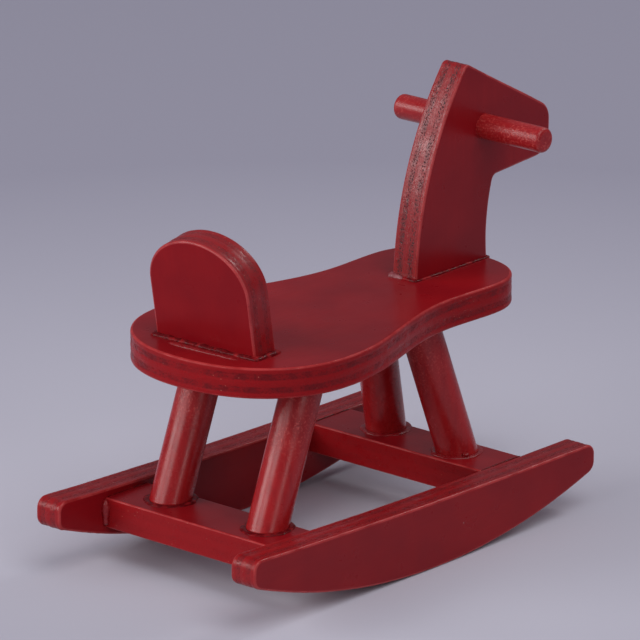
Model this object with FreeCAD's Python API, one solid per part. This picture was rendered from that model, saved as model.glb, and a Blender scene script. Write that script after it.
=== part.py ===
import FreeCAD, Part
import math
import os

# A dolls house rocking horse seat: plywood boards and dowels, glued up. Millimetres.
# +X is forward, +Y is the horse's left and +Z is up. The runners stand on z = 0.
# Stations along X are measured from the middle of the runners. The finished parts are
# then moved so that the origin is under the middle of the whole object's box.

Vector = FreeCAD.Vector

# Stock
PLY = 6.0
LEG_DIAMETER = 8.0
HANDLE_DIAMETER = 5.0
SOCKET_CLEARANCE = 0.05
ARRIS = 0.5

# Runners
RUNNER_LENGTH = 99.5
RUNNER_SPREAD = 55.7
RUNNER_HEIGHT = 13.4
RUNNER_RADIUS = 146.0
RUNNER_TOP_SAG = 0.6
RUNNER_TIP_ROUND = 2.2
RUNNER_MIDDLE = -0.35
RUNNER_PITCH = 1.2

# Cross boards
CROSS_TOP = 12.9
CROSS_WIDTH = 11.9
CROSS_STATIONS = {"rear_cross_board": -31.15, "front_cross_board": 27.95}

# Seat board
SEAT_TOP = 46.6
SEAT_REAR = -40.4
SEAT_FRONT = 46.3
SEAT_WIDEST = (-18.4, 23.9)
SEAT_WAIST = (21.5, 15.3)
SEAT_FRONT_LOBE = (32.5, 15.65)
SEAT_REAR_POWER = 2.2
SEAT_FRONT_POWER = 2.4
SEAT_POINTS = 25

# Legs: the middle of the foot on the cross board and of the head under the seat, as (x, y)
LEGS = {
    "rear_left_leg": ((-29.5, 12.0), (-18.1, 12.3)),
    "rear_right_leg": ((-29.5, -12.7), (-17.7, -12.0)),
    "front_left_leg": ((29.6, 8.8), (21.8, 6.0)),
    "front_right_leg": ((28.1, -10.7), (21.0, -6.5)),
}
LEG_SOCKET = 3.0

# Backrest: drawn upright on its rear face, then leaned back and turned
BACK_STATION = -32.5
BACK_HALF_WIDTH = 12.1
BACK_HEIGHT = 21.7
BACK_ROUND_START = 12.0
BACK_LEAN = 9.6
BACK_YAW = 2.1
BACK_BELOW = 2.0

# Head board: outline in the XZ plane
NECK_REAR_FOOT = (24.6, SEAT_TOP)
NECK_REAR_BOW = (28.3, 66.6)
CREST = (39.5, 87.2)
NOSE_TOP = (64.9, 73.2)
NOSE_BOTTOM = (64.7, 64.1)
THROAT = (47.8, 62.9)
NECK_FRONT_BOW = (46.0, 54.5)
NECK_FRONT_FOOT = (46.0, SEAT_TOP)
CREST_ROUND = 1.3
NOSE_ROUND = 4.1
THROAT_ROUND = 1.5

# Handle
HANDLE_PLACE = (44.8, 73.5)
HANDLE_LENGTH = 37.0
HANDLE_HOLE_DIAMETER = 5.4
HANDLE_COLLAR = 0.2

# Set glue
GLUE_WIDTH = 1.0
GLUE_TOP_WIDTH = 0.3
GLUE_HEIGHT = 0.7


def board(edges, thickness):
    """A closed outline swept along one thickness vector."""
    return Part.Face(Part.Wire(edges)).extrude(thickness)


def xz(point, y=0.0):
    return Vector(point[0], y, point[1])


def line(start, end):
    return Part.LineSegment(xz(start), xz(end)).toShape()


def arc(start, middle, end):
    return Part.Arc(xz(start), xz(middle), xz(end)).toShape()


def round_corner(solid, corner, radius):
    """Rounds the edge that runs along Y at one corner of an XZ outline."""
    def at_corner(edge):
        ends = [vertex.Point for vertex in edge.Vertexes]
        flat = [math.hypot(p.x - corner[0], p.z - corner[1]) for p in ends]
        return len(ends) == 2 and max(flat) < 0.01
    return solid.makeFillet(radius, [edge for edge in solid.Edges if at_corner(edge)])


def ease_faces(solid, normal):
    """Eases the arrises round the flat faces that look along a direction or against it."""
    edges = []
    for face in solid.Faces:
        if isinstance(face.Surface, Part.Plane) and abs(face.Surface.Axis.dot(normal)) > 0.999:
            edges.extend(face.OuterWire.Edges)
    return solid.makeFillet(ARRIS, edges)


def cylinder(start, end, diameter):
    axis = end - start
    return Part.makeCylinder(diameter / 2, axis.Length, start, axis)


# Runners

def make_runner(side):
    half = RUNNER_LENGTH / 2
    rise = RUNNER_RADIUS - math.sqrt(RUNNER_RADIUS**2 - half**2)
    edges = [
        arc((-half, rise), (0, 0), (half, rise)),
        line((half, rise), (half, RUNNER_HEIGHT + RUNNER_TOP_SAG)),
        arc((half, RUNNER_HEIGHT + RUNNER_TOP_SAG), (0, RUNNER_HEIGHT),
            (-half, RUNNER_HEIGHT + RUNNER_TOP_SAG)),
        line((-half, RUNNER_HEIGHT + RUNNER_TOP_SAG), (-half, rise)),
    ]
    runner = board(edges, Vector(0, PLY, 0))
    runner.translate(Vector(0, side * (RUNNER_SPREAD - PLY) / 2 - PLY / 2, 0))
    for end in (-half, half):
        runner = round_corner(runner, (end, rise), RUNNER_TIP_ROUND)
        runner = round_corner(runner, (end, RUNNER_HEIGHT + RUNNER_TOP_SAG), RUNNER_TIP_ROUND)
    runner = ease_faces(runner, Vector(0, 1, 0))
    middle = Vector(0, 0, RUNNER_HEIGHT / 2)
    runner.rotate(middle, Vector(0, 1, 0), RUNNER_PITCH)
    runner.translate(Vector(RUNNER_MIDDLE, 0, -runner_drop()))
    return runner


def runner_drop():
    """How far the pitch about the runner's middle moves its lowest line."""
    above_middle = RUNNER_RADIUS - RUNNER_HEIGHT / 2
    return above_middle * (math.cos(math.radians(RUNNER_PITCH)) - 1)


# Cross boards

def make_cross_board(station):
    length = RUNNER_SPREAD - 2 * PLY
    corner = Vector(station - CROSS_WIDTH / 2, -length / 2, CROSS_TOP - PLY)
    return Part.makeBox(CROSS_WIDTH, length, PLY, corner)


# Seat board

def seat_half_width(x):
    """Half the seat's width at a station: round rear lobe, waist, round front lobe."""
    if x < SEAT_WIDEST[0]:
        reach = (SEAT_WIDEST[0] - x) / (SEAT_WIDEST[0] - SEAT_REAR)
        power = SEAT_REAR_POWER
        return SEAT_WIDEST[1] * max(0.0, 1 - reach**power) ** (1 / power)
    if x < SEAT_WAIST[0]:
        return swell(x, SEAT_WIDEST, SEAT_WAIST)
    if x < SEAT_FRONT_LOBE[0]:
        return swell(x, SEAT_WAIST, SEAT_FRONT_LOBE)
    reach = (x - SEAT_FRONT_LOBE[0]) / (SEAT_FRONT - SEAT_FRONT_LOBE[0])
    power = SEAT_FRONT_POWER
    return SEAT_FRONT_LOBE[1] * max(0.0, 1 - reach**power) ** (1 / power)


def swell(x, start, end):
    """A half cosine from one (station, half width) to the next, level at both."""
    turn = math.pi * (x - start[0]) / (end[0] - start[0])
    return (start[1] + end[1]) / 2 + (start[1] - end[1]) / 2 * math.cos(turn)


def make_seat_board():
    middle = (SEAT_REAR + SEAT_FRONT) / 2
    reach = (SEAT_FRONT - SEAT_REAR) / 2
    underside = SEAT_TOP - PLY
    left = []
    for step in range(SEAT_POINTS):
        x = middle - reach * math.cos(math.pi * step / (SEAT_POINTS - 1))
        left.append(Vector(x, seat_half_width(x), underside))
    right = [Vector(p.x, -p.y, p.z) for p in left[-2:0:-1]]
    outline = Part.BSplineCurve()
    outline.interpolate(Points=left + right, PeriodicFlag=True)
    seat = board([outline.toShape()], Vector(0, 0, PLY))
    seat = ease_faces(seat, Vector(0, 0, 1))
    for leg in LEGS:
        seat = seat.cut(cylinder(*leg_axis(leg), LEG_DIAMETER + 2 * SOCKET_CLEARANCE))
    return seat


# Legs

def leg_axis(leg):
    """A leg's line, from a leg's width below its foot to the bottom of its socket."""
    foot = Vector(*LEGS[leg][0], CROSS_TOP)
    head = Vector(*LEGS[leg][1], SEAT_TOP - PLY)
    along = (head - foot).normalize()
    return foot - along * LEG_DIAMETER, head + along * LEG_SOCKET


def make_leg(leg):
    """A dowel, square at its head and mitred to stand flat on a cross board."""
    return cylinder(*leg_axis(leg), LEG_DIAMETER).common(space_above(CROSS_TOP))


def space_above(height):
    reach = RUNNER_LENGTH
    return Part.makeBox(2 * reach, 2 * reach, reach, Vector(-reach, -reach, height))


# Backrest

def make_backrest():
    """A round-topped board, leaned back, turned, and mitred flat on the seat."""
    width = BACK_HALF_WIDTH
    foot_left = Vector(0, width, -BACK_BELOW)
    foot_right = Vector(0, -width, -BACK_BELOW)
    shoulder_left = Vector(0, width, BACK_ROUND_START)
    shoulder_right = Vector(0, -width, BACK_ROUND_START)
    top = Vector(0, 0, BACK_HEIGHT)
    crown = Part.Ellipse(shoulder_left, top, Vector(0, 0, BACK_ROUND_START))
    edges = [
        Part.ArcOfEllipse(crown, 0, math.pi).toShape(),
        Part.LineSegment(shoulder_right, foot_right).toShape(),
        Part.LineSegment(foot_right, foot_left).toShape(),
        Part.LineSegment(foot_left, shoulder_left).toShape(),
    ]
    back = board(edges, Vector(PLY, 0, 0))
    back = ease_faces(back, Vector(1, 0, 0))
    back.rotate(Vector(0, 0, 0), Vector(0, 1, 0), -BACK_LEAN)
    back.rotate(Vector(0, 0, 0), Vector(0, 0, 1), BACK_YAW)
    back.translate(Vector(BACK_STATION, 0, SEAT_TOP))
    return back.common(space_above(SEAT_TOP))


# Head board and handle

def make_head_board():
    edges = [
        arc(NECK_REAR_FOOT, NECK_REAR_BOW, CREST),
        line(CREST, NOSE_TOP),
        line(NOSE_TOP, NOSE_BOTTOM),
        line(NOSE_BOTTOM, THROAT),
        arc(THROAT, NECK_FRONT_BOW, NECK_FRONT_FOOT),
        line(NECK_FRONT_FOOT, NECK_REAR_FOOT),
    ]
    head = board(edges, Vector(0, PLY, 0))
    head.translate(Vector(0, -PLY / 2, 0))
    head = round_corner(head, CREST, CREST_ROUND)
    head = round_corner(head, NOSE_TOP, NOSE_ROUND)
    head = round_corner(head, NOSE_BOTTOM, NOSE_ROUND)
    head = round_corner(head, THROAT, THROAT_ROUND)
    head = ease_faces(head, Vector(0, 1, 0))
    return head.cut(handle_rod(PLY, HANDLE_HOLE_DIAMETER))


def handle_rod(length, diameter):
    end = xz(HANDLE_PLACE, -length / 2)
    return cylinder(end, end + Vector(0, length, 0), diameter)


def make_handle():
    """A dowel with a film of glue round its middle that fills the hole and stands a little proud."""
    rod = handle_rod(HANDLE_LENGTH, HANDLE_DIAMETER)
    rod = ease_faces(rod, Vector(0, 1, 0))
    return rod.fuse(handle_rod(PLY + 2 * HANDLE_COLLAR, HANDLE_HOLE_DIAMETER))


# Set glue

def rectangle(length, width, height):
    corners = [
        Vector(length / 2, width / 2, height),
        Vector(-length / 2, width / 2, height),
        Vector(-length / 2, -width / 2, height),
        Vector(length / 2, -width / 2, height),
    ]
    return Part.makePolygon(corners + corners[:1])


def make_board_glue(solid, middle, length, width, yaw=0.0):
    """A low sloping bead on the seat, all round the rectangle that a board stands on."""
    low = rectangle(length + 2 * GLUE_WIDTH, width + 2 * GLUE_WIDTH, 0)
    high = rectangle(length + 2 * GLUE_TOP_WIDTH, width + 2 * GLUE_TOP_WIDTH, GLUE_HEIGHT)
    bead = Part.makeLoft([low, high], True)
    bead.rotate(Vector(0, 0, 0), Vector(0, 0, 1), yaw)
    bead.translate(Vector(middle, 0, SEAT_TOP))
    return bead.cut(solid)


def make_backrest_glue(backrest):
    depth = PLY / math.cos(math.radians(BACK_LEAN))
    return make_board_glue(backrest, BACK_STATION + depth / 2, depth, 2 * BACK_HALF_WIDTH, BACK_YAW)


def make_head_board_glue(head_board):
    middle = (NECK_REAR_FOOT[0] + NECK_FRONT_FOOT[0]) / 2
    length = NECK_FRONT_FOOT[0] - NECK_REAR_FOOT[0]
    return make_board_glue(head_board, middle, length, PLY)


def make_leg_glue(cross_boards):
    """A ring of glue round the foot of each leg, no wider than the cross board under it."""
    over_boards = Part.makeCompound(cross_boards)
    over_boards.translate(Vector(0, 0, PLY / 2))
    rings = []
    for leg, (foot, head) in LEGS.items():
        low_radius = LEG_DIAMETER / 2 + GLUE_WIDTH
        high_radius = LEG_DIAMETER / 2 + GLUE_TOP_WIDTH
        ring = Part.makeCone(low_radius, high_radius, GLUE_HEIGHT, Vector(*foot, CROSS_TOP))
        ring = ring.cut(cylinder(*leg_axis(leg), LEG_DIAMETER))
        rings.extend(ring.common(over_boards).Solids)
    return Part.makeCompound(rings)


def build():
    parts = {
        "rocker_left": make_runner(1),
        "rocker_right": make_runner(-1),
        "seat_board": make_seat_board(),
        "backrest": make_backrest(),
        "head_board": make_head_board(),
        "handle_dowel": make_handle(),
    }
    cross_boards = {name: make_cross_board(station) for name, station in CROSS_STATIONS.items()}
    parts.update(cross_boards)
    for leg in LEGS:
        parts[leg] = make_leg(leg)
    parts["backrest_glue"] = make_backrest_glue(parts["backrest"])
    parts["head_board_glue"] = make_head_board_glue(parts["head_board"])
    parts["leg_glue"] = make_leg_glue(list(cross_boards.values()))
    return parts


def main():
    os.makedirs("parts", exist_ok=True)
    parts = build()
    box = Part.makeCompound(list(parts.values())).optimalBoundingBox()
    to_origin = Vector(-(box.XMin + box.XMax) / 2, 0, 0)
    for name, shape in parts.items():
        shape.translate(to_origin)
        shape.exportStep("parts/" + name + ".step")


main()
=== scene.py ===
import math

import bmesh
import bpy
from mathutils import Matrix, Vector, geometry, noise


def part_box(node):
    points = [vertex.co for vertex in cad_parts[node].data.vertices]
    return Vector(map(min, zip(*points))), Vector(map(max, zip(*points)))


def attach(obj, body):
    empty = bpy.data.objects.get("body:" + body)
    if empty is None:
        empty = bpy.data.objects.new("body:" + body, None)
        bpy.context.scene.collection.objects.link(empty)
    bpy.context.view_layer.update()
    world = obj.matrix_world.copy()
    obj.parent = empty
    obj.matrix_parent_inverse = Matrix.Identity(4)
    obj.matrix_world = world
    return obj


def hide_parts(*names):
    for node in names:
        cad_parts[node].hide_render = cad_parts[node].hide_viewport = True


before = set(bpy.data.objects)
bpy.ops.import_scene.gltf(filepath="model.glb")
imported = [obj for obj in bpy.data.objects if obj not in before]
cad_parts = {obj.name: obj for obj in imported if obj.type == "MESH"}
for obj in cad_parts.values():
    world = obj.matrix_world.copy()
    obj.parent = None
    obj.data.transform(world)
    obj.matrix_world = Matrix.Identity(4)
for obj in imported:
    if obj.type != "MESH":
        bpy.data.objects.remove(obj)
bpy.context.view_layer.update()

# Lengths below are in metres, written as millimetres times MM.
MM = 0.001
X = Vector((1, 0, 0))
Y = Vector((0, 1, 0))
Z = Vector((0, 0, 1))
BODY = "root"
LEGS = ("front_left_leg", "front_right_leg", "rear_left_leg", "rear_right_leg")

# Boards. HIDDEN is how far a board runs on inside the one that it is glued to, and the arris share is
# how much of an arris carries a paler red, which is partly worn lacquer and partly a painted highlight.
PLY = 6.0 * MM
ARRIS = 0.45 * MM
CROSS_ARRIS = 0.32 * MM
WORN_AND_HIGHLIT_SHARE = 0.75
HIDDEN = 1.8 * MM
HIDDEN_ROUND = 1.2 * MM

# Dowels. MITRE_REACH is the length of leg over which its flat foot is worked in, and HOLE_SHARE is the
# size of the hole in the head as a share of the handle, so that no gap shows round it.
LEG_RADIUS = 4.0 * MM
LEG_HIDDEN = 0.6 * MM
MITRE_REACH = 4.8 * MM
HANDLE_RADIUS = 2.5 * MM
HANDLE_TIP = 0.9 * MM
HOLE_SHARE = 0.99
DOWEL_GRAIN_DEPTH = 0.006 * MM
DOWEL_SPECK_DEPTH = 0.002 * MM

# Stations along X are measured from the middle of the runners, as in the part's source.
HANDLE_STATION = 44.8 * MM


def box_middle(node):
    low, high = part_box(node)
    return (low + high) / 2


STATION_ZERO = box_middle("handle_dowel").x - HANDLE_STATION
SEAT_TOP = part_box("seat_board")[1].z

# Runners
RUNNER_LENGTH = 99.5 * MM
RUNNER_HEIGHT = 13.4 * MM
RUNNER_RADIUS = 146.0 * MM
RUNNER_TOP_SAG = 0.6 * MM
RUNNER_TIP_ROUND = 2.2 * MM
RUNNER_PITCH = math.radians(1.2)

# Seat board
SEAT_REAR = -40.4 * MM
SEAT_FRONT = 46.3 * MM
SEAT_WIDEST = (-18.4 * MM, 23.9 * MM)
SEAT_WAIST = (21.5 * MM, 15.3 * MM)
SEAT_FRONT_LOBE = (32.5 * MM, 15.65 * MM)
SEAT_REAR_POWER = 2.2
SEAT_FRONT_POWER = 2.4

# Backrest
BACK_STATION = -32.5 * MM
BACK_HALF_WIDTH = 12.1 * MM
BACK_HEIGHT = 21.7 * MM
BACK_ROUND_START = 12.0 * MM
BACK_LEAN = math.radians(9.6)
BACK_YAW = math.radians(2.1)

# Head board
NECK_REAR_FOOT = (24.6 * MM, SEAT_TOP)
NECK_REAR_BOW = (28.3 * MM, 66.6 * MM)
CREST = (39.5 * MM, 87.2 * MM)
NOSE_TOP = (64.9 * MM, 73.2 * MM)
NOSE_BOTTOM = (64.7 * MM, 64.1 * MM)
THROAT = (47.8 * MM, 62.9 * MM)
NECK_FRONT_BOW = (46.0 * MM, 54.5 * MM)
NECK_FRONT_FOOT = (46.0 * MM, SEAT_TOP)
CREST_ROUND = 1.3 * MM
NOSE_ROUND = 4.1 * MM
THROAT_ROUND = 1.5 * MM

# Relief of a board's edge: depths and heights, and where its glue lines lie as a share of its thickness
GLUE_LINES = (0.2, 0.4, 0.6, 0.8)
GLUE_LINE_DEPTH = 0.05 * MM
GLUE_LINE_WIDTH = 0.12 * MM
CROSS_PLY_DEPTH = 0.03 * MM
PIT_DEPTH = 0.16 * MM
PIT_THRESHOLD = 0.12
RIPPLE_HEIGHT = 0.035 * MM
WAVE_HEIGHT = 0.10 * MM

# Where each board's random relief starts, so that no two edges are alike
BOARD_SEEDS = {
    "rocker_left": 1.7,
    "rocker_right": 8.3,
    "front_cross_board": 4.1,
    "rear_cross_board": 6.6,
    "seat_board": 2.4,
    "backrest": 3.3,
    "head_board": 7.9,
}

# Glue: how thick each bead is, as a radius, how far it stands off the wood, and from where to where it
# runs across the object. The shares say how uneven a bead is, and how much of it tapers at an open end.
RING_RADIUS = 0.75 * MM
RING_OFFSET = 0.30 * MM
NECK_BEAD_RADIUS = 0.46 * MM
NECK_BEAD_INSET = 0.9 * MM
NECK_BLOB_RADIUS = 0.85 * MM
NECK_BLOB_OFFSET = 0.15 * MM
NECK_BLOB_SPAN = (0.5 * MM, -3.2 * MM)
BACK_BEAD_RADIUS = 0.74 * MM
BACK_BEAD_OFFSET = 0.2 * MM
SMEAR_RADIUS = 0.80 * MM
SMEAR_OFFSET = 1.9 * MM
SMEAR_SPAN = (7.5 * MM, -9.5 * MM)
JOINT_LINE_RADIUS = 0.20 * MM
CORNER_DRIP_RADIUS = 0.85 * MM
CORNER_DRIP_OFFSET = 0.25 * MM
FOOT_DROP_RADIUS = 0.6 * MM
FOOT_DROP_HEIGHT = 1.0 * MM
FOOT_DROP_DIRECTION = Vector((-0.45, -0.89, 0))
LUMP_SHARE = 0.45
CRUST_SHARE = 0.15
TAPER_SHARE = 0.18

# Mesh density
OUTLINE_STEP = 0.35 * MM
EDGE_ROW_STEP = 0.25 * MM
ARRIS_STEPS = 4
LEG_ROWS = 90
LEG_SIDES = 96
HANDLE_STEPS = 35
HANDLE_TIP_STEPS = 8
HANDLE_SIDES = 72
HOLE_SIDES = 48
BEAD_SIDES = 16
BEAD_STEP = 0.2 * MM
BLOB_STEP = 0.1 * MM

# Camera, lamps and floor
AIM = Vector((-8.75 * MM, -1.13 * MM, 44.7 * MM))
CAMERA_DISTANCE = 1.3343
CAMERA_AZIMUTH = math.radians(-48.67)
CAMERA_ELEVATION = math.radians(17.84)
CAMERA_LENS = 393.4
CAMERA_SENSOR = 36.0
CAMERA_NEAREST = 0.05
LAMP_DISTANCE = 1.0
CEILING_DIRECTION = Vector((-0.15, -0.55, 1.0))
CEILING_ENERGY = 0.88
CEILING_ANGLE = math.radians(44)
HORIZON_STRENGTH = 0.17
OVERHEAD_STRENGTH = 0.28
STUDIO_TINT = (0.88, 0.85, 1.0)
FLOOR_REACH = 4.0


# Flat outlines

def arc_through(start, middle, end, steps=48):
    """Points along the circle through three points."""
    (ax, ay), (bx, by), (cx, cy) = start, middle, end
    twice_area = 2 * (ax * (by - cy) + bx * (cy - ay) + cx * (ay - by))
    a2, b2, c2 = ax * ax + ay * ay, bx * bx + by * by, cx * cx + cy * cy
    x = (a2 * (by - cy) + b2 * (cy - ay) + c2 * (ay - by)) / twice_area
    y = (a2 * (cx - bx) + b2 * (ax - cx) + c2 * (bx - ax)) / twice_area
    radius = math.hypot(ax - x, ay - y)
    first = math.atan2(ay - y, ax - x)
    to_middle = (math.atan2(by - y, bx - x) - first) % math.tau
    to_end = (math.atan2(cy - y, cx - x) - first) % math.tau
    sweep = to_end if to_middle < to_end else to_end - math.tau
    turns = [first + sweep * step / steps for step in range(steps + 1)]
    return [(x + radius * math.cos(turn), y + radius * math.sin(turn)) for turn in turns]


def closed_outline(runs, rounds):
    """Joins runs of points end to end. rounds[i] is the radius where run i ends."""
    trimmed = [[Vector(p) for p in run] for run in runs]
    corners = []
    for index, radius in enumerate(rounds):
        after = (index + 1) % len(runs)
        corner = Vector(runs[after][0])
        incoming = (corner - Vector(runs[index][-2])).normalized()
        outgoing = (Vector(runs[after][1]) - corner).normalized()
        half_turn = incoming.angle(outgoing) / 2
        reach = radius * math.tan(half_turn)
        for end in (index, after):
            trimmed[end] = [p for p in trimmed[end] if (p - corner).length > reach]
        inward = (outgoing - incoming).normalized()
        nearest = corner + inward * radius * (1 / math.cos(half_turn) - 1)
        if radius > 0:
            ends = (corner - incoming * reach, corner + outgoing * reach)
            corners.append(arc_through(ends[0], nearest, ends[1], steps=12))
        else:
            corners.append([corner])
    outline = []
    for run, corner in zip(trimmed, corners):
        outline.extend(run)
        outline.extend(corner)
    return resample(outline, OUTLINE_STEP)


def resample(points, step):
    """Even points round a closed outline."""
    ring = [Vector(p) for p in points]
    ring = [p for i, p in enumerate(ring) if (p - ring[i - 1]).length > step * 0.02]
    lengths = [(ring[(i + 1) % len(ring)] - ring[i]).length for i in range(len(ring))]
    count = round(sum(lengths) / step)
    spacing = sum(lengths) / count
    even = []
    along = 0.0
    for i, length in enumerate(lengths):
        after = ring[(i + 1) % len(ring)]
        while along < length and len(even) < count:
            even.append(ring[i].lerp(after, along / length))
            along += spacing
        along -= length
    return even


def outward_normals(outline):
    """The direction out of a closed outline at each of its points."""
    count = len(outline)
    area = sum(outline[i - 1].x * outline[i].y - outline[i].x * outline[i - 1].y for i in range(count))
    side = 1 if area > 0 else -1
    normals = []
    for i in range(count):
        tangent = (outline[(i + 1) % count] - outline[i - 1]).normalized()
        normals.append(Vector((tangent.y, -tangent.x)) * side)
    return normals


def runner_outline():
    """A runner's outline: an arc below, a top edge that sags a little, and rounded tips."""
    half = RUNNER_LENGTH / 2
    rise = RUNNER_RADIUS - math.sqrt(RUNNER_RADIUS**2 - half**2)
    top = RUNNER_HEIGHT + RUNNER_TOP_SAG
    bottom_run = arc_through((-half, rise), (0, 0), (half, rise), steps=120)
    top_run = arc_through((half, top), (0, RUNNER_HEIGHT), (-half, top), steps=60)
    runs = [bottom_run, [(half, rise), (half, top)], top_run, [(-half, top), (-half, rise)]]
    return closed_outline(runs, [RUNNER_TIP_ROUND] * 4)


def seat_half_width(x):
    """Half the seat's width at a station: round rear lobe, waist, round front lobe."""
    if x < SEAT_WIDEST[0]:
        reach = (SEAT_WIDEST[0] - x) / (SEAT_WIDEST[0] - SEAT_REAR)
        power = SEAT_REAR_POWER
        return SEAT_WIDEST[1] * max(0.0, 1 - reach**power) ** (1 / power)
    if x < SEAT_WAIST[0]:
        return swell(x, SEAT_WIDEST, SEAT_WAIST)
    if x < SEAT_FRONT_LOBE[0]:
        return swell(x, SEAT_WAIST, SEAT_FRONT_LOBE)
    reach = (x - SEAT_FRONT_LOBE[0]) / (SEAT_FRONT - SEAT_FRONT_LOBE[0])
    power = SEAT_FRONT_POWER
    return SEAT_FRONT_LOBE[1] * max(0.0, 1 - reach**power) ** (1 / power)


def swell(x, start, end):
    """A half cosine from one (station, half width) to the next, level at both."""
    turn = math.pi * (x - start[0]) / (end[0] - start[0])
    return (start[1] + end[1]) / 2 + (start[1] - end[1]) / 2 * math.cos(turn)


def seat_outline():
    """The seat's outline, from rear to front along the left side and back along the right one."""
    middle = (SEAT_REAR + SEAT_FRONT) / 2
    reach = (SEAT_FRONT - SEAT_REAR) / 2
    steps = 180
    stations = [middle - reach * math.cos(math.pi * step / steps) for step in range(steps + 1)]
    left = [(x, seat_half_width(x)) for x in stations]
    right = [(x, -y) for x, y in left[-2:0:-1]]
    return resample([(x + STATION_ZERO, y) for x, y in left + right], OUTLINE_STEP)


def backrest_outline():
    """The rear face's outline, as (across, up), with its foot hidden in the seat."""
    below = -HIDDEN
    crown = BACK_HEIGHT - BACK_ROUND_START
    turns = [math.pi * step / 80 for step in range(81)]
    top = [
        (BACK_HALF_WIDTH * math.cos(turn), BACK_ROUND_START + crown * math.sin(turn))
        for turn in turns
    ]
    left = [(-BACK_HALF_WIDTH, BACK_ROUND_START), (-BACK_HALF_WIDTH, below)]
    foot = [(-BACK_HALF_WIDTH, below), (BACK_HALF_WIDTH, below)]
    right = [(BACK_HALF_WIDTH, below), (BACK_HALF_WIDTH, BACK_ROUND_START)]
    return closed_outline([top, left, foot, right], [0, HIDDEN_ROUND, HIDDEN_ROUND, 0])


def head_outline():
    """The head board's outline, with its foot hidden in the seat."""
    front_hidden = (NECK_FRONT_FOOT[0], SEAT_TOP - HIDDEN)
    rear_hidden = (NECK_REAR_FOOT[0], SEAT_TOP - HIDDEN)
    runs = [
        arc_through(NECK_REAR_FOOT, NECK_REAR_BOW, CREST),
        [CREST, NOSE_TOP],
        [NOSE_TOP, NOSE_BOTTOM],
        [NOSE_BOTTOM, THROAT],
        arc_through(THROAT, NECK_FRONT_BOW, NECK_FRONT_FOOT),
        [NECK_FRONT_FOOT, front_hidden],
        [front_hidden, rear_hidden],
        [rear_hidden, NECK_REAR_FOOT],
    ]
    rounds = [CREST_ROUND, NOSE_ROUND, NOSE_ROUND, THROAT_ROUND, 0, HIDDEN_ROUND, HIDDEN_ROUND, 0]
    return [Vector((p.x + STATION_ZERO, p.y)) for p in closed_outline(runs, rounds)]


def strip_outline(node):
    """A cross board's outline, with its ends hidden in the rockers."""
    low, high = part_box(node)
    near, far = low.y - HIDDEN, high.y + HIDDEN
    corners = [(low.x, near), (high.x, near), (high.x, far), (low.x, far)]
    runs = [[corners[i], corners[(i + 1) % 4]] for i in range(4)]
    return closed_outline(runs, [HIDDEN_ROUND] * 4)


# Boards: a flat outline, a rounded arris, and an edge with the relief of five plies

def edge_rows(arris):
    """Rows from one face of a board to the other, as (inset, depth)."""
    turns = [math.pi / 2 * step / ARRIS_STEPS for step in range(ARRIS_STEPS + 1)]
    near = [(arris * (1 - math.sin(turn)), arris * (1 - math.cos(turn))) for turn in turns]
    straight = PLY - 2 * arris
    count = round(straight / EDGE_ROW_STEP)
    middle = [(0.0, arris + straight * step / count) for step in range(1, count)]
    far = [(inset, PLY - depth) for inset, depth in reversed(near)]
    return [(2 * arris, 0.0)] + near + middle + far + [(2 * arris, PLY)]


def ply_relief(along, depth, seed):
    """How far an edge sinks at a point: glue lines, open cross plies, pits and waviness."""
    across = depth / PLY
    from_glue_line = min(abs(across - line) for line in GLUE_LINES) * PLY
    sink = GLUE_LINE_DEPTH * math.exp(-((from_glue_line / GLUE_LINE_WIDTH) ** 2))
    place = Vector((along / MM, depth / MM))
    if GLUE_LINES[0] < across < GLUE_LINES[1] or GLUE_LINES[2] < across < GLUE_LINES[3]:
        pit = noise.noise(Vector((place.x * 1.3, place.y * 2.2, seed)))
        sink += CROSS_PLY_DEPTH + PIT_DEPTH * max(0.0, pit - PIT_THRESHOLD)
    sink += RIPPLE_HEIGHT * noise.noise(Vector((place.x * 0.9, place.y * 1.6, seed + 9)))
    sink += WAVE_HEIGHT * noise.noise(Vector((place.x * 0.07, seed, 3.1)))
    return sink


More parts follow.
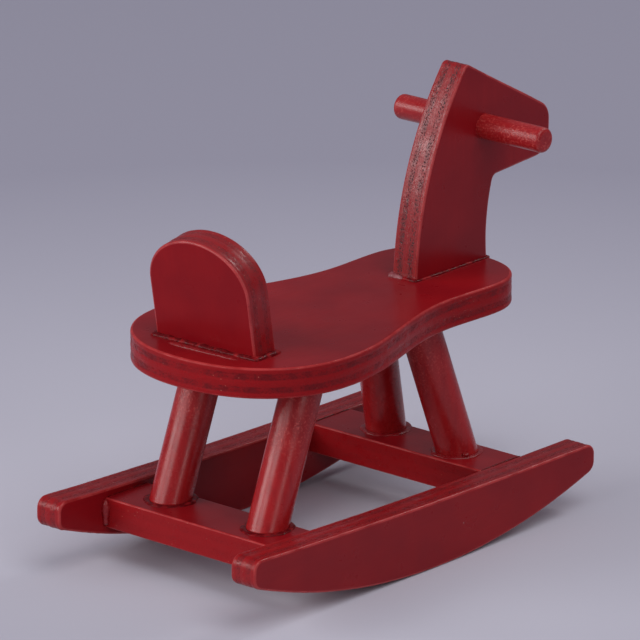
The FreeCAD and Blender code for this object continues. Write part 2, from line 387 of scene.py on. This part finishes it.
def make_board(name, outline, axes, origin, seed, relief=1.0, arris=ARRIS, hole=()):
    """A board from an outline in the plane of axes[0] and axes[1], thick along axes[2]."""
    count = len(outline)
    normals = outward_normals(outline)
    spacing = (outline[1] - outline[0]).length
    rows = edge_rows(arris)
    last = len(rows) - 1
    vertices = []
    along_values = []
    depth_values = []
    arris_values = []

    def add_vertex(flat, along, depth, on_arris):
        vertices.append(origin + axes[0] * flat.x + axes[1] * flat.y + axes[2] * depth)
        along_values.append(along)
        depth_values.append(depth / PLY)
        arris_values.append(1.0 if on_arris else 0.0)

    for row, (inset, depth) in enumerate(rows):
        on_edge = 0 < row < last
        # Rows near a face get the paler arris red: worn lacquer and a painted highlight.
        on_arris = on_edge and min(depth, PLY - depth) < arris * WORN_AND_HIGHLIT_SHARE
        fade = min(1.0, depth / arris, (PLY - depth) / arris)
        for i, point in enumerate(outline):
            along = i * spacing
            sink = inset
            if on_edge:
                sink += relief * fade * ply_relief(along, depth, seed)
            add_vertex(point - normals[i] * sink, along, depth, on_arris)
    for depth in (0.0, PLY):
        for point in hole:
            add_vertex(point, 0.0, depth, False)

    faces = []
    for row in range(last):
        faces += ring_of_faces(row * count, (row + 1) * count, count)
    on_flat = [row in (0, last - 1) for row in range(last) for i in range(count)]
    rim = [point - normal * rows[0][0] for point, normal in zip(outline, normals)]
    rings = [[point.to_3d() for point in ring] for ring in (rim, hole) if ring]
    hole_first = len(rows) * count
    for cap, first in enumerate((0, last * count)):
        index = list(range(first, first + count))
        index += range(hole_first + cap * len(hole), hole_first + (cap + 1) * len(hole))
        for triangle in geometry.tessellate_polygon(rings):
            faces.append(tuple(index[corner] for corner in triangle))
            on_flat.append(True)
    faces += ring_of_faces(hole_first, hole_first + len(hole), len(hole))
    on_flat += [False] * len(hole)

    mesh = bpy.data.meshes.new(name)
    mesh.from_pydata(vertices, [], faces)
    store(mesh, "along", along_values)
    store(mesh, "depth", depth_values)
    store(mesh, "arris", arris_values)
    mesh.polygons.foreach_set("material_index", [0 if flat else 1 for flat in on_flat])
    piece = finish_mesh(name, mesh)
    smooth_sides(mesh)
    return piece


def ring_of_faces(first, second, count):
    """Four-sided faces between two rings of vertices, from the numbers of their first vertices."""
    faces = []
    for i in range(count):
        after = (i + 1) % count
        faces.append((first + i, first + after, second + after, second + i))
    return faces


def smooth_sides(mesh):
    """Shades the four-sided faces smooth and leaves the flat ends flat."""
    for polygon in mesh.polygons:
        polygon.use_smooth = len(polygon.vertices) == 4


def store(mesh, name, values):
    """Keeps one number per vertex for the materials to read."""
    layer = mesh.attributes.new(name, "FLOAT", "POINT")
    layer.data.foreach_set("value", values)


def finish_mesh(name, mesh):
    """Makes a mesh into an object of the scene."""
    mesh.validate()
    mesh.update()
    piece = bpy.data.objects.new(name, mesh)
    bpy.context.scene.collection.objects.link(piece)
    return piece


def turn_faces_out(piece):
    """Makes every face of a closed piece look outwards."""
    shell = bmesh.new()
    shell.from_mesh(piece.data)
    bmesh.ops.recalc_face_normals(shell, faces=shell.faces)
    shell.to_mesh(piece.data)
    shell.free()


def move_into_box(piece, node):
    """Puts a piece's middle where its CAD node's middle is."""
    corners = [vertex.co for vertex in piece.data.vertices]
    low = Vector([min(c[axis] for c in corners) for axis in range(3)])
    high = Vector([max(c[axis] for c in corners) for axis in range(3)])
    piece.data.transform(Matrix.Translation(box_middle(node) - (low + high) / 2))


# Dowels and glue: a tube along a line, with a radius of its own at every point

def make_tube(name, centres, frames, radius_at, sides, closed=False):
    """A tube through centres. frames gives two cross directions at each centre."""
    vertices = []
    along_values = []
    along = 0.0
    for row, (centre, (across, up)) in enumerate(zip(centres, frames)):
        if row:
            along += (centre - centres[row - 1]).length
        for side in range(sides):
            turn = math.tau * side / sides
            radius = radius_at(row, turn, along)
            vertices.append(centre + across * radius * math.cos(turn) + up * radius * math.sin(turn))
            along_values.append(along)
    faces = []
    rows = len(centres)
    for row in range(rows if closed else rows - 1):
        faces += ring_of_faces(row * sides, (row + 1) % rows * sides, sides)
    if not closed:
        faces.append(tuple(range(sides)))
        faces.append(tuple(range((rows - 1) * sides, rows * sides)))
    mesh = bpy.data.meshes.new(name)
    mesh.from_pydata(vertices, [], faces)
    store(mesh, "along", along_values)
    piece = finish_mesh(name, mesh)
    smooth_sides(mesh)
    turn_faces_out(piece)
    return piece


def dowel_ends(node):
    """The middles of a leg's foot and head, from the rings of its CAD mesh."""
    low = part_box(node)[0].z
    tolerance = 0.05 * MM
    corners = [vertex.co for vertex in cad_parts[node].data.vertices]
    foot_ring = [corner for corner in corners if corner.z < low + tolerance]
    head_ring = [corner for corner in corners if corner.z > low + PLY]
    return ring_middle(foot_ring), ring_middle(head_ring)


def ring_middle(ring):
    """The middle of the box round a ring of points."""
    spans = [[corner[axis] for corner in ring] for axis in range(3)]
    return Vector([(min(span) + max(span)) / 2 for span in spans])


def cross_directions(direction):
    """Two directions square to a dowel's own direction and to each other."""
    across = direction.cross(Z)
    if across.length < 0.1:
        across = direction.cross(Y)
    across.normalize()
    return across, direction.cross(across).normalized()


def dowel_relief(along, turn, radius, seed):
    """Long shallow grain grooves round a dowel, with small specks."""
    round_place = Vector((0, math.cos(turn), math.sin(turn)))
    start = Vector((0, 0, seed))
    grain = noise.noise(Vector((along / MM * 0.12, 0, 0)) + round_place * 2.0 + start)
    fine = noise.noise(Vector((along / MM * 1.1, 0, 0)) + round_place * 2.0 * radius / MM + start)
    return DOWEL_GRAIN_DEPTH * grain + DOWEL_SPECK_DEPTH * fine


def make_leg(node, seed):
    """A dowel from its mitred foot to just inside the seat board."""
    foot, head = dowel_ends(node)
    direction = (head - foot).normalized()
    underside = SEAT_TOP - PLY
    top = foot + direction * ((underside + LEG_HIDDEN - foot.z) / direction.z)
    centres = [foot.lerp(top, row / (LEG_ROWS - 1)) for row in range(LEG_ROWS)]

    def radius_at(row, turn, along):
        return LEG_RADIUS - dowel_relief(along, turn, LEG_RADIUS, seed)

    frames = [cross_directions(direction)] * LEG_ROWS
    leg = make_tube(node + "_wood", centres, frames, radius_at, LEG_SIDES)
    # Points near the foot slide along the leg until the foot lies flat on its cross board.
    for vertex in leg.data.vertices:
        reach = (vertex.co - foot).dot(direction)
        if reach < MITRE_REACH:
            above_middle = vertex.co.z - foot.z - reach * direction.z
            vertex.co -= direction * (above_middle / direction.z) * (1 - reach / MITRE_REACH)
    return leg


def make_handle():
    """A dowel across the head, with rounded tips, from a profile of (reach from the middle, radius)."""
    middle = box_middle("handle_dowel")
    low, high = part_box("handle_dowel")
    half = (high.y - low.y) / 2
    turns = [math.pi / 2 * step / HANDLE_TIP_STEPS for step in range(HANDLE_TIP_STEPS + 1)]
    left = [
        (half - HANDLE_TIP * (1 - math.sin(turn)), HANDLE_RADIUS - HANDLE_TIP * (1 - math.cos(turn)))
        for turn in turns
    ]
    right = [(-reach, size) for reach, size in reversed(left)]
    straight = half - HANDLE_TIP
    steps = range(1 - HANDLE_STEPS, HANDLE_STEPS)
    shaft = [(straight * step / HANDLE_STEPS, HANDLE_RADIUS) for step in steps]
    profile = right + shaft + left
    centres = [Vector((middle.x, middle.y + reach, middle.z)) for reach, size in profile]

    def radius_at(row, turn, along):
        return profile[row][1] - dowel_relief(along, turn, HANDLE_RADIUS, seed=5.5)

    return make_tube("handle_wood", centres, [(X, Z)] * len(centres), radius_at, HANDLE_SIDES)


def make_bead(name, path, size, seed, flat=1.0, closed=True, swell_rate=0.5):
    """A lumpy bead of set glue along a path, wider than it is high when flat is under 1.

    An open bead tapers to nothing at both ends.
    """
    rows = len(path)
    frames = []
    for i in range(rows):
        before = path[i - 1] if closed or i else path[0]
        after = path[(i + 1) % rows] if closed or i < rows - 1 else path[-1]
        direction = (after - before).normalized()
        across = direction.cross(Z)
        across = across.normalized() if across.length > 0.1 else X
        frames.append((across, across.cross(direction).normalized() * flat))

    def radius_at(row, turn, along):
        lump = noise.noise(Vector((along / MM * swell_rate, seed, 0.3)))
        round_bead = (math.cos(turn) * 1.5, math.sin(turn) * 1.5 + seed)
        crust = noise.noise(Vector((along / MM * 2.6, *round_bead)))
        taper = 1.0
        if not closed:
            end = min(row, rows - 1 - row) / max(1, rows * TAPER_SHARE)
            taper = min(1.0, math.sqrt(end) + 0.02)
        return size * taper * (1 + LUMP_SHARE * lump + CRUST_SHARE * crust)

    return make_tube(name, path, frames, radius_at, BEAD_SIDES, closed)


def even_path(corners, step, closed=True):
    """Even points along straight runs between corners."""
    count = len(corners)
    path = []
    for i in range(count if closed else count - 1):
        start, end = corners[i], corners[(i + 1) % count]
        steps = max(1, round((end - start).length / step))
        path.extend(start.lerp(end, part / steps) for part in range(steps))
    if not closed:
        path.append(corners[-1])
    return path


def foot_ellipse(node, grow):
    """The outline of a leg's foot on its cross board, grown outwards."""
    foot, head = dowel_ends(node)
    direction = (head - foot).normalized()
    lean = Vector((direction.x, direction.y, 0))
    stretch = 1 / direction.z
    along = lean.normalized()
    across = Vector((-along.y, along.x, 0))
    long_reach = LEG_RADIUS * stretch + grow
    short_reach = LEG_RADIUS + grow
    turns = [math.tau * step / 72 for step in range(72)]
    return [
        foot + along * long_reach * math.cos(turn) + across * short_reach * math.sin(turn)
        for turn in turns
    ]


def board_foot(node, shrink):
    """The four corners of the rectangle that a board stands on, from its glue bead's box."""
    low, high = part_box(node)
    return [
        Vector((low.x + shrink, low.y + shrink, low.z)),
        Vector((high.x - shrink, low.y + shrink, low.z)),
        Vector((high.x - shrink, high.y - shrink, low.z)),
        Vector((low.x + shrink, high.y - shrink, low.z)),
    ]


# Materials

class Look:
    """A node material that is built up from the object's own coordinates."""

    def __init__(self, name):
        self.material = bpy.data.materials.new(name)
        self.material.use_nodes = True
        self.tree = self.material.node_tree
        self.shader = self.tree.nodes["Principled BSDF"]
        self.place = self.add("ShaderNodeTexCoord").outputs["Object"]

    def add(self, kind, **settings):
        node = self.tree.nodes.new(kind)
        for key, value in settings.items():
            setattr(node, key, value)
        return node

    def link(self, source, target):
        self.tree.links.new(source, target)

    def rim_place(self):
        """A place on a board's edge: millimetres round the outline, and share of the depth."""
        place = self.add("ShaderNodeCombineXYZ")
        self.link(self.math("DIVIDE", self.attribute("along"), MM), place.inputs["X"])
        self.link(self.attribute("depth"), place.inputs["Y"])
        return place.outputs["Vector"]

    def stretched(self, scale, place=None):
        mapping = self.add("ShaderNodeMapping")
        self.link(place or self.place, mapping.inputs["Vector"])
        mapping.inputs["Scale"].default_value = scale
        return mapping.outputs["Vector"]

    def noise(self, scale, detail, vector=None):
        texture = self.add("ShaderNodeTexNoise")
        texture.inputs["Scale"].default_value = scale
        texture.inputs["Detail"].default_value = detail
        self.link(vector or self.place, texture.inputs["Vector"])
        return texture.outputs["Fac"]

    def band(self, value, low, high, to_low=0.0, to_high=1.0):
        """Maps low..high to to_low..to_high, clamped."""
        ranged = self.add("ShaderNodeMapRange")
        self.link(value, ranged.inputs["Value"])
        ranged.inputs["From Min"].default_value = low
        ranged.inputs["From Max"].default_value = high
        ranged.inputs["To Min"].default_value = to_low
        ranged.inputs["To Max"].default_value = to_high
        return ranged.outputs["Result"]

    def math(self, operation, first, second):
        node = self.add("ShaderNodeMath", operation=operation)
        for socket, value in zip(node.inputs, (first, second)):
            if isinstance(value, float):
                socket.default_value = value
            else:
                self.link(value, socket)
        return node.outputs["Value"]

    def mix(self, factor, first, second):
        node = self.add("ShaderNodeMix", data_type="RGBA")
        self.link(factor, node.inputs["Factor"])
        for name, value in (("A", first), ("B", second)):
            socket = [s for s in node.inputs if s.name == name and s.type == "RGBA"][0]
            if isinstance(value, tuple):
                socket.default_value = (*value, 1.0)
            else:
                self.link(value, socket)
        return [s for s in node.outputs if s.type == "RGBA"][0]

    def attribute(self, name):
        return self.add("ShaderNodeAttribute", attribute_name=name).outputs["Fac"]

    def bump(self, height, depth, strength=1.0, onto=None):
        node = self.add("ShaderNodeBump")
        node.inputs["Distance"].default_value = depth
        node.inputs["Strength"].default_value = strength
        self.link(height, node.inputs["Height"])
        if onto:
            self.link(onto, node.inputs["Normal"])
        return node.outputs["Normal"]

    def dust_and_glint_specks(self, spacing, radius, share):
        """Sparse round specks, as a mask."""
        cells = self.add("ShaderNodeTexVoronoi")
        cells.inputs["Scale"].default_value = 1 / spacing
        self.link(self.place, cells.inputs["Vector"])
        near = self.band(cells.outputs["Distance"], 0.6 * radius / spacing, radius / spacing, 1.0, 0.0)
        picked = self.band(cells.outputs["Color"], 1 - share - 0.01, 1 - share)
        return self.math("MULTIPLY", near, picked)


# Colours, as linear red, green and blue
DEEP_RED = (0.230, 0.0040, 0.0080)
WARM_RED = (0.290, 0.0060, 0.0090)
# The arris red is partly worn lacquer and partly a painted highlight.
ARRIS_WORN_AND_HIGHLIT_RED = (0.450, 0.042, 0.042)
PLY_RED = (0.290, 0.008, 0.010)
PLY_DARK = (0.150, 0.007, 0.010)
PORE_DARK = (0.030, 0.003, 0.005)
DUST = (0.480, 0.300, 0.300)
# Edge specks: sanded specks, and painted glints.
SPECK = (0.560, 0.150, 0.110)
DOWEL_RED = (0.360, 0.010, 0.012)
# Pale dowel specks: raised grit, and painted glints.
DOWEL_GRIT_AND_GLINT = (0.600, 0.085, 0.072)
DARK_GLUE = ((0.110, 0.003, 0.005), (0.320, 0.012, 0.015))
RED_GLUE = ((0.220, 0.005, 0.008), (0.300, 0.012, 0.015))
DUSTY_GLUE = ((0.260, 0.060, 0.070), (0.360, 0.140, 0.150))
# Floor colours paint its light: paler near the object, darker far away.
FLOOR_NEAR_PAINTED_LIGHT = (0.57, 0.56, 0.64)
FLOOR_FAR_PAINTED_SHADE = (0.33, 0.32, 0.40)

# Noise scales per metre. Grain runs along the axis with the small one.
GRAIN_X = (90.0, 1500.0, 1500.0)
GRAIN_Y = (1500.0, 90.0, 1500.0)
GRAIN_Z = (1500.0, 1500.0, 90.0)
LEG_GRAIN = (650.0, 650.0, 90.0)
HANDLE_GRAIN = (650.0, 90.0, 650.0)


def finish_paint(look, colour, roughness, normal, shine):
    """Joins what a lacquer is made of to its shader."""
    look.link(colour, look.shader.inputs["Base Color"])
    look.link(roughness, look.shader.inputs["Roughness"])
    look.link(normal, look.shader.inputs["Normal"])
    look.shader.inputs["Specular IOR Level"].default_value = shine
    return look.material


def cross_plies(look, depth):
    """A mask that is 1 on the two darker cross plies of an edge."""
    wobble = look.band(look.noise(420.0, 2.0), 0.0, 1.0, -0.03, 0.03)
    offset = look.math("SUBTRACT", look.math("ADD", depth, wobble), 0.5)
    from_middle = look.math("ABSOLUTE", offset, 0.0)
    inner = look.band(from_middle, 0.09, 0.14)
    outer = look.band(from_middle, 0.29, 0.34, 1.0, 0.0)
    return look.math("MULTIPLY", inner, outer)


def face_paint(name, grain, shine):
    """Satin red lacquer over the flat face of a plywood board."""
    look = Look(name)
    clouds = look.band(look.noise(90.0, 2.0), 0.35, 0.68)
    streaks = look.noise(1.0, 3.0, look.stretched(grain))
    colour = look.mix(clouds, DEEP_RED, WARM_RED)
    colour = look.mix(look.band(streaks, 0.35, 0.75, 0.0, 0.5), colour, DEEP_RED)
    colour = look.mix(look.dust_and_glint_specks(5.5 * MM, 0.16 * MM, 0.4), colour, DUST)
    rough = look.band(look.noise(240.0, 3.0), 0.3, 0.7, 0.27, 0.32)
    peel = look.bump(look.noise(900.0, 3.0), 0.010 * MM)
    return finish_paint(look, colour, rough, look.bump(streaks, 0.02 * MM, 0.6, peel), shine)


def edge_paint(name, plies, pits, shine):
    """Lacquer over a plywood board's edge: five plies, open pores, and worn arrises with a painted
    highlight.
    """
    look = Look(name)
    cross = cross_plies(look, look.attribute("depth"))
    rim = look.rim_place()
    fibres = look.noise(1.0, 4.0, look.stretched((1.6, 26.0, 1.0), rim))
    pores = look.noise(1.0, 5.0, look.stretched((2.4, 18.0, 1.0), rim))
    shade = look.band(look.noise(330.0, 4.0), 0.38, 0.62, plies, 0.15 * plies)
    colour = look.mix(look.band(fibres, 0.3, 0.7), PLY_RED, WARM_RED)
    colour = look.mix(look.math("MULTIPLY", cross, shade), colour, PLY_DARK)
    on_cross_plies = look.band(cross, 0.0, 1.0, 0.35, 1.0)
    open_pores = look.math("MULTIPLY", look.band(pores, 0.53, 0.60), on_cross_plies)
    colour = look.mix(look.math("MULTIPLY", open_pores, pits), colour, PORE_DARK)
    worn_and_highlit = look.band(look.noise(300.0, 3.0), 0.3, 0.6, 0.2, 0.9)
    # Paler red along the arrises: partly worn lacquer, partly a painted highlight.
    colour = look.mix(look.math("MULTIPLY", look.attribute("arris"), worn_and_highlit), colour, ARRIS_WORN_AND_HIGHLIT_RED)
    # Sparse pale specks on the edge: partly sanded specks, partly painted glints.
    colour = look.mix(look.dust_and_glint_specks(0.8 * MM, 0.10 * MM, 0.30), colour, SPECK)
    rough = look.band(look.noise(420.0, 3.0), 0.3, 0.7, 0.20, 0.46)
    rough = look.math("ADD", rough, look.math("MULTIPLY", open_pores, 0.3))
    relief = look.math("SUBTRACT", fibres, look.math("MULTIPLY", open_pores, 0.4))
    return finish_paint(look, colour, rough, look.bump(relief, 0.05 * MM * pits, 0.9), shine)


def dowel_paint(name, grain, speckled_from):
    """Thin red lacquer on a dowel: grain streaks, then grit with painted glints past a length from its
    start.
    """
    look = Look(name)
    streaks = look.noise(1.0, 3.0, look.stretched(grain))
    specks = look.noise(2400.0, 3.0)
    patches = look.band(look.noise(160.0, 2.0), 0.4, 0.6, 0.35, 1.0)
    reach = look.band(look.attribute("along"), speckled_from, speckled_from + 9 * MM, 0.22, 1.0)
    gritty = look.math("MULTIPLY", patches, reach)
    # Pale specks where the dowel is gritty: partly grit, partly painted speckled highlights.
    pale = look.math("MULTIPLY", look.band(specks, 0.52, 0.68, 0.0, 0.75), gritty)
    colour = look.mix(look.band(streaks, 0.42, 0.66), DOWEL_RED, WARM_RED)
    colour = look.mix(pale, colour, DOWEL_GRIT_AND_GLINT)
    smooth = look.band(look.noise(300.0, 3.0), 0.3, 0.7, 0.17, 0.30)
    rough = look.math("ADD", smooth, look.math("MULTIPLY", gritty, 0.16))
    grit = look.bump(look.math("MULTIPLY", specks, gritty), 0.09 * MM, 1.0)
    return finish_paint(look, colour, rough, look.bump(streaks, 0.0012 * MM, 0.8, grit), 0.42)


def glue_paint(name, colours, crust_height, shine):
    """Set glue under lacquer: the first colour in its hollows, the second on its crust, which is duller."""
    look = Look(name)
    crust = look.noise(700.0, 3.0)
    colour = look.mix(look.band(crust, 0.5, 0.7), *colours)
    rough = look.band(crust, 0.35, 0.7, 0.20, 0.45)
    return finish_paint(look, colour, rough, look.bump(crust, crust_height, 0.7), shine)


def floor_look():
    """A matt floor with painted light: paler under the object, and darker further away, as light falls off.
    """
    look = Look("pale_floor")
    distance = look.add("ShaderNodeVectorMath", operation="LENGTH")
    look.link(look.place, distance.inputs[0])
    far = look.band(distance.outputs["Value"], 0.03, 0.25)
    look.link(look.mix(far, FLOOR_NEAR_PAINTED_LIGHT, FLOOR_FAR_PAINTED_SHADE), look.shader.inputs["Base Color"])
    look.shader.inputs["Roughness"].default_value = 0.85
    look.link(look.bump(look.noise(600.0, 2.0), 0.05 * MM, 0.3), look.shader.inputs["Normal"])
    return look.material


def board_paint(name, grain, face_shine, plies, pits, edge_shine):
    """The two materials of a board: its faces, and its edge with dark plies and open pits."""
    face = face_paint(name + "_face", grain, face_shine)
    return face, edge_paint(name + "_edge", plies, pits, edge_shine)


rocker_paint = board_paint("rocker", GRAIN_X, 0.20, plies=0.55, pits=0.45, edge_shine=0.28)
seat_paint = board_paint("seat", GRAIN_X, 0.14, plies=0.85, pits=0.35, edge_shine=0.12)
cross_paint = board_paint("cross", GRAIN_Y, 0.18, plies=0.12, pits=0.15, edge_shine=0.14)
back_paint = board_paint("backrest", GRAIN_Z, 0.12, plies=0.5, pits=0.4, edge_shine=0.42)
head_paint = board_paint("head", GRAIN_Z, 0.26, plies=0.9, pits=1.0, edge_shine=0.48)
leg_paint = (dowel_paint("leg_lacquer", LEG_GRAIN, speckled_from=12 * MM),)
handle_paint = (dowel_paint("handle_lacquer", HANDLE_GRAIN, speckled_from=-9 * MM),)
dark_glue = (glue_paint("glue_dark", DARK_GLUE, crust_height=0.06 * MM, shine=0.10),)
red_glue = (glue_paint("glue_red", RED_GLUE, crust_height=0.012 * MM, shine=0.40),)
dusty_glue = (glue_paint("glue_dusty", DUSTY_GLUE, crust_height=0.03 * MM, shine=0.35),)


# The object

def dress(piece, materials, slot, *nodes):
    """Gives a piece its materials and body, and hides the CAD nodes that it stands for."""
    for material in materials:
        piece.data.materials.append(material)
    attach(piece, BODY)
    if nodes:
        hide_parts(*nodes)
    return piece


def add_board(name, outline, axes, origin, paint, slot, node, **details):
    """A board whose outline already lies where its CAD node does."""
    board = make_board(name, outline, axes, origin, BOARD_SEEDS[node], **details)
    turn_faces_out(board)
    dress(board, paint, slot, node)


def add_rockers():
    outline = runner_outline()
    for node in ("rocker_left", "rocker_right"):
        rocker = make_board(node + "_wood", outline, (X, Z, Y), Vector((0, 0, 0)), BOARD_SEEDS[node])
        rocker.data.transform(Matrix.Rotation(RUNNER_PITCH, 4, "Y"))
        turn_faces_out(rocker)
        move_into_box(rocker, node)
        dress(rocker, rocker_paint, "rockers", node)


def add_cross_boards():
    for node in ("front_cross_board", "rear_cross_board"):
        origin = Vector((0, 0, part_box(node)[0].z))
        add_board(
            node + "_wood", strip_outline(node), (X, Y, Z), origin,
            cross_paint, "cross_boards", node, relief=0.2, arris=CROSS_ARRIS,
        )


def add_seat():
    origin = Vector((0, 0, SEAT_TOP - PLY))
    add_board("seat_wood", seat_outline(), (X, Y, Z), origin, seat_paint, "seat", "seat_board")


def add_backrest():
    """The backrest, which leans back and is turned a little."""
    turn = Matrix.Rotation(BACK_YAW, 4, "Z") @ Matrix.Rotation(-BACK_LEAN, 4, "Y")
    axes = (turn @ Y, turn @ Z, turn @ X)
    origin = Vector((STATION_ZERO + BACK_STATION, 0, SEAT_TOP))
    add_board("backrest_wood", backrest_outline(), axes, origin, back_paint, "backrest", "backrest")


def add_head():
    """The neck and head board, with a hole for the handle."""
    middle = box_middle("handle_dowel")
    centre = Vector((middle.x, middle.z))
    turns = [math.tau * step / HOLE_SIDES for step in range(HOLE_SIDES)]
    spokes = [Vector((math.cos(turn), math.sin(turn))) for turn in turns]
    hole = [centre + spoke * HANDLE_RADIUS * HOLE_SHARE for spoke in spokes]
    origin = Vector((0, -PLY / 2, 0))
    add_board(
        "head_wood", head_outline(), (X, Z, Y), origin,
        head_paint, "head", "head_board", hole=hole,
    )


def add_dowels():
    for number, node in enumerate(LEGS):
        dress(make_leg(node, seed=number * 3.7), leg_paint, "legs", node)
    dress(make_handle(), handle_paint, "handle", "handle_dowel")


def add_open_bead(name, ends, step, size, paint, **details):
    """A tapered bead of glue along a straight line."""
    bead = make_bead(name, even_path(ends, step, closed=False), size, closed=False, **details)
    dress(bead, paint, "glue")


def add_leg_glue():
    """A ring of glue round each leg's foot: crusty behind, smooth in front."""
    for number, node in enumerate(LEGS):
        path = foot_ellipse(node, RING_OFFSET)
        ring = make_bead(node + "_glue", path, RING_RADIUS, seed=number + 0.5, flat=0.4)
        dress(ring, dark_glue if "rear" in node else red_glue, "glue")


def add_neck_glue():
    """A bead round the foot of the neck, and a dusty blob behind it."""
    foot = board_foot("head_board_glue", NECK_BEAD_INSET)
    bead = make_bead("head_glue", even_path(foot, BEAD_STEP), NECK_BEAD_RADIUS, seed=11.0, flat=0.8)
    dress(bead, dark_glue, "glue", "head_board_glue")
    ends = [foot[3] + Vector((-NECK_BLOB_OFFSET, y, 0)) for y in NECK_BLOB_SPAN]
    add_open_bead("neck_blob", ends, BLOB_STEP, NECK_BLOB_RADIUS, dusty_glue, seed=12.5, flat=0.9)


def add_backrest_glue():
    """A bead round the foot of the backrest, and a smear on the seat behind it."""
    low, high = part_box("backrest_glue")
    middle = (low + high) / 2
    centre = Vector((middle.x, middle.y, low.z))
    turn = Matrix.Rotation(BACK_YAW, 4, "Z")
    deep = PLY / math.cos(BACK_LEAN) / 2 + BACK_BEAD_OFFSET
    wide = BACK_HALF_WIDTH + BACK_BEAD_OFFSET
    corners = [(-deep, -wide), (deep, -wide), (deep, wide), (-deep, wide)]
    foot = [centre + turn @ Vector((x, y, 0)) for x, y in corners]
    bead = make_bead("backrest_bead", even_path(foot, BEAD_STEP), BACK_BEAD_RADIUS, seed=15.0, flat=0.8)
    dress(bead, dark_glue, "glue", "backrest_glue")
    behind = -deep - SMEAR_OFFSET
    ends = [centre + turn @ Vector((behind, y, 0)) for y in SMEAR_SPAN]
    add_open_bead(
        "backrest_smear", ends, BEAD_STEP, SMEAR_RADIUS, red_glue,
        seed=21.0, flat=0.45, swell_rate=0.2,
    )


def add_joint_glue():
    """A thin line of glue along each joint between a cross board and a rocker."""
    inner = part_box("rocker_left")[0].y
    for node in ("front_cross_board", "rear_cross_board"):
        low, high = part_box(node)
        for side, hand in ((1, "left"), (-1, "right")):
            ends = [Vector((x, side * inner, high.z)) for x in (low.x, high.x)]
            name = f"{node}_{hand}_glue"
            add_open_bead(name, ends, BEAD_STEP, JOINT_LINE_RADIUS, dark_glue, seed=side * 4.2)


def add_drips():
    """A drip down a corner of the rear cross board, and a drop beside the front right leg's foot."""
    low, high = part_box("rear_cross_board")
    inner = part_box("rocker_left")[0].y
    corner = Vector((low.x - CORNER_DRIP_OFFSET, inner - CORNER_DRIP_OFFSET, 0))
    ends = [corner + Z * (low.z + 0.5 * MM), corner + Z * (high.z - 0.2 * MM)]
    add_open_bead("corner_drip", ends, BEAD_STEP, CORNER_DRIP_RADIUS, red_glue, seed=31.0)
    foot = dowel_ends("front_right_leg")[0]
    beside = foot + FOOT_DROP_DIRECTION * (LEG_RADIUS + RING_OFFSET)
    ends = [beside, beside + Z * FOOT_DROP_HEIGHT]
    add_open_bead("foot_drop", ends, BLOB_STEP, FOOT_DROP_RADIUS, red_glue, seed=37.0)


add_rockers()
add_cross_boards()
add_seat()
add_backrest()
add_head()
add_dowels()
add_leg_glue()
add_neck_glue()
add_backrest_glue()
add_joint_glue()
add_drips()
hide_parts("leg_glue")


# Floor, light and camera

def add_floor():
    corners = [(x * FLOOR_REACH, y * FLOOR_REACH, 0) for x, y in ((-1, -1), (1, -1), (1, 1), (-1, 1))]
    mesh = bpy.data.meshes.new("floor")
    mesh.from_pydata(corners, [], [(0, 1, 2, 3)])
    floor = finish_mesh("floor", mesh)
    floor.data.materials.append(floor_look())


def add_softbox(name, direction, size, power):
    """A soft rectangular lamp that looks at the object from a direction."""
    lamp = bpy.data.lights.new(name, "AREA")
    lamp.shape = "RECTANGLE"
    lamp.size, lamp.size_y = size
    lamp.energy = power
    holder = bpy.data.objects.new(name, lamp)
    towards = Vector(direction).normalized()
    holder.location = AIM + towards * LAMP_DISTANCE
    holder.rotation_euler = towards.to_track_quat("Z", "Y").to_euler()
    bpy.context.scene.collection.objects.link(holder)


def add_ceiling_light():
    """A broad light from above that reaches the whole floor evenly."""
    lamp = bpy.data.lights.new("ceiling", "SUN")
    lamp.energy = CEILING_ENERGY
    lamp.angle = CEILING_ANGLE
    holder = bpy.data.objects.new("ceiling", lamp)
    holder.rotation_euler = CEILING_DIRECTION.to_track_quat("Z", "Y").to_euler()
    bpy.context.scene.collection.objects.link(holder)


def add_world():
    """A pale studio, darker towards the horizon."""
    world = bpy.data.worlds.new("studio")
    world.use_nodes = True
    nodes, links = world.node_tree.nodes, world.node_tree.links
    place = nodes.new("ShaderNodeTexCoord")
    split = nodes.new("ShaderNodeSeparateXYZ")
    rise = nodes.new("ShaderNodeMapRange")
    rise.inputs["From Min"].default_value = 0.05
    rise.inputs["From Max"].default_value = 0.8
    rise.inputs["To Min"].default_value = HORIZON_STRENGTH
    rise.inputs["To Max"].default_value = OVERHEAD_STRENGTH
    links.new(place.outputs["Generated"], split.inputs["Vector"])
    links.new(split.outputs["Z"], rise.inputs["Value"])
    background = nodes["Background"]
    background.inputs["Color"].default_value = (*STUDIO_TINT, 1)
    links.new(rise.outputs["Result"], background.inputs["Strength"])
    bpy.context.scene.world = world


def add_camera():
    """A long lens, above and behind the right side of the object."""
    back = Vector((
        math.sin(CAMERA_AZIMUTH) * math.cos(CAMERA_ELEVATION),
        -math.cos(CAMERA_AZIMUTH) * math.cos(CAMERA_ELEVATION),
        math.sin(CAMERA_ELEVATION),
    ))
    lens = bpy.data.cameras.new("camera")
    lens.lens = CAMERA_LENS
    lens.sensor_width = CAMERA_SENSOR
    lens.clip_start = CAMERA_NEAREST
    camera = bpy.data.objects.new("camera", lens)
    camera.location = AIM + back * CAMERA_DISTANCE
    camera.rotation_euler = back.to_track_quat("Z", "Y").to_euler()
    bpy.context.scene.collection.objects.link(camera)
    bpy.context.scene.camera = camera


add_floor()
add_world()
add_softbox("left_softbox", (-0.70, 0.60, 0.42), size=(0.48, 0.45), power=3.8)
add_softbox("rear_softbox", (-0.95, 0.12, 0.38), size=(0.46, 0.55), power=2.5)
add_softbox("right_strip", (-0.36, -0.88, 0.34), size=(0.26, 0.50), power=1.0)
add_softbox("front_softbox", (0.71, -0.12, 0.69), size=(0.25, 0.25), power=1.4)
add_ceiling_light()
bpy.context.scene.view_settings.view_transform = "Standard"
add_camera()
